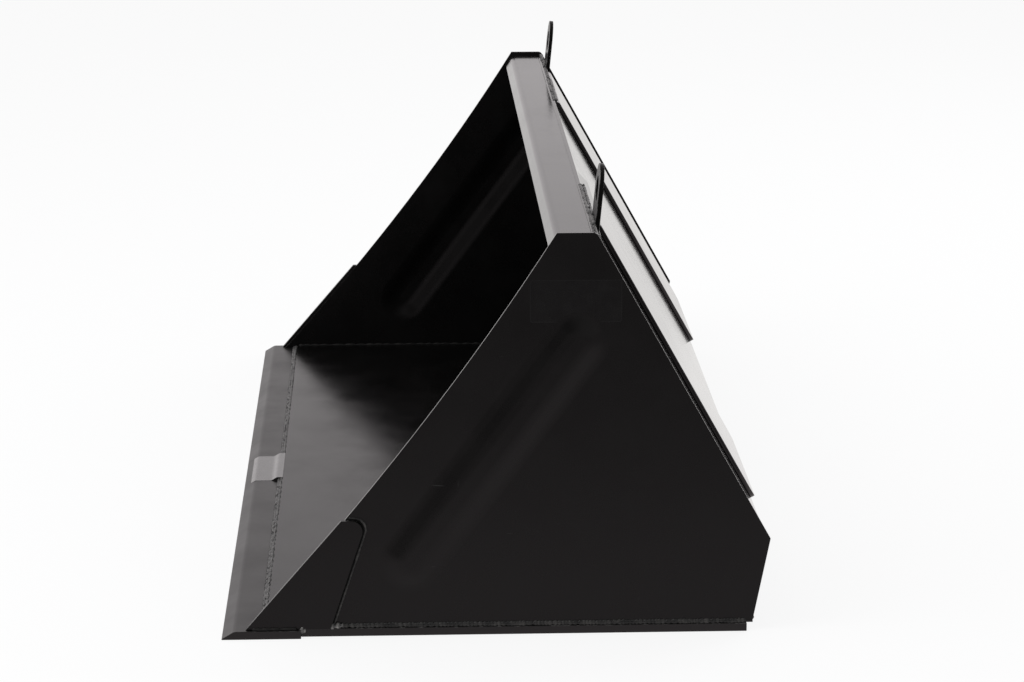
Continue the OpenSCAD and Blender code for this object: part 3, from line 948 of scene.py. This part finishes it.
def seen_or_mirrored(tree):
    """1 for rays that show the backdrop itself, in the picture or in a reflection."""
    path = add(tree, "ShaderNodeLightPath")
    both = maths(tree, "MAXIMUM", path.outputs["Is Camera Ray"], path.outputs["Is Glossy Ray"])
    return maths(tree, "MAXIMUM", both, path.outputs["Is Transmission Ray"])


def is_mirrored(tree):
    """1 for rays that show the backdrop in a reflection."""
    return add(tree, "ShaderNodeLightPath").outputs["Is Glossy Ray"]


def axes_of(tree, coordinates):
    """X, Y and Z of one kind of texture coordinates."""
    vector = add(tree, "ShaderNodeTexCoord").outputs[coordinates]
    return add(tree, "ShaderNodeSeparateXYZ", {0: vector}).outputs


def make_world():
    """White wall behind the bucket. The hall's far side, above the floor, mirrors darker."""
    world = bpy.data.worlds.new("studio")
    bpy.context.scene.world = world
    world.use_nodes = True
    tree = world.node_tree
    tree.nodes.clear()
    way = axes_of(tree, "Generated")
    hall = maths(tree, "MULTIPLY", spread(tree, way["X"], *HALL_X), spread(tree, way["Z"], *HALL_Z))
    hall = maths(tree, "MULTIPLY", hall, is_mirrored(tree))
    rear = spread(tree, way["Y"], *HALL_REAR_Y)
    hall_tone = mix_colour(tree, rear, grey(HALL_GREY), grey(HALL_REAR_GREY))
    upper_wall = tuple(UPPER_WALL_SHARE * share for share in MIRRORED_WALL[:3]) + (1.0,)
    wall = mix_colour(tree, spread(tree, way["Z"], *UPPER_WALL_Z), MIRRORED_WALL, upper_wall)
    wall = mix_colour(tree, is_mirrored(tree), WHITE, wall)
    shade = mix_colour(tree, hall, wall, hall_tone)
    shown = add(tree, "ShaderNodeBackground", {"Color": shade, "Strength": 1.0})
    lit = add(tree, "ShaderNodeBackground", {"Color": WHITE, "Strength": LIGHT_FROM_AROUND})
    share = seen_or_mirrored(tree)
    both = add(tree, "ShaderNodeMixShader", {0: share, 1: lit.outputs[0], 2: shown.outputs[0]})
    add(tree, "ShaderNodeOutputWorld", {"Surface": both.outputs[0]})


def floor_finish():
    """White studio floor.

    Seen in the paint, it glows with a painted light: brightest beside the bucket, and dimmed by
    painted shade towards the hall's left side and behind.
    """
    material = bpy.data.materials.new("studio_floor")
    material.use_nodes = True
    tree = material.node_tree
    tree.nodes.clear()
    matt = add(tree, "ShaderNodeBsdfDiffuse", {"Color": FLOOR_COLOUR})
    place = axes_of(tree, "Object")
    away = place["X"]
    side = spread(tree, away, *SIDE_X, 1.0, SIDE_SHARE)
    far_side = spread(tree, away, *FAR_SIDE_X, 0.0, FAR_SIDE_LOSS)
    behind = maths(
        tree, "MULTIPLY", spread(tree, away, *BEHIND_X), spread(tree, place["Y"], *BEHIND_Y)
    )
    # Painted light: the mirrored glow is dimmed by place, with painted shade farther out and behind
    # the bucket
    bright = maths(tree, "SUBTRACT", side, far_side)
    bright = maths(tree, "SUBTRACT", bright, maths(tree, "MULTIPLY", behind, BEHIND_LOSS))
    mirrored = is_mirrored(tree)
    tone = mix_colour(tree, spread(tree, away, *WALL_TINT_X), MIRRORED_FLOOR, MIRRORED_WALL)
    tone = mix_colour(tree, mirrored, WHITE, tone)
    darker = maths(tree, "MULTIPLY", mirrored, maths(tree, "SUBTRACT", 1.0, bright))
    shown = mix_colour(tree, darker, tone, BLACK)
    glow = add(tree, "ShaderNodeEmission", {"Color": shown, "Strength": 1.0})
    seen = maths(tree, "MULTIPLY", seen_or_mirrored(tree), FLOOR_SEEN_SHARE)
    share = maths(tree, "MAXIMUM", seen, mirrored)
    both = add(tree, "ShaderNodeMixShader", {0: share, 1: matt.outputs[0], 2: glow.outputs[0]})
    add(tree, "ShaderNodeOutputMaterial", {"Surface": both.outputs[0]})
    return material


def make_floor():
    """Studio floor under the bucket."""
    bm = bmesh.new()
    bmesh.ops.create_grid(bm, x_segments=1, y_segments=1, size=FLOOR_HALF_SIZE)
    mesh = bpy.data.meshes.new("studio_floor")
    bm.to_mesh(mesh)
    bm.free()
    floor = bpy.data.objects.new("studio_floor", mesh)
    bpy.context.collection.objects.link(floor)
    mesh.materials.append(floor_finish())


def make_lamps():
    """Square lamps, each turned towards its aim."""
    for name, place, aim, size, power in LAMPS:
        data = bpy.data.lights.new(name, "AREA")
        data.size = size
        data.energy = power
        lamp = bpy.data.objects.new(name, data)
        lamp.location = place
        lamp.rotation_euler = (Vector(aim) - Vector(place)).to_track_quat("-Z", "Y").to_euler()
        bpy.context.collection.objects.link(lamp)


bpy.context.scene.view_settings.view_transform = "Standard"
make_camera()
make_world()
make_floor()
make_lamps()
show_plates()
show_welds()
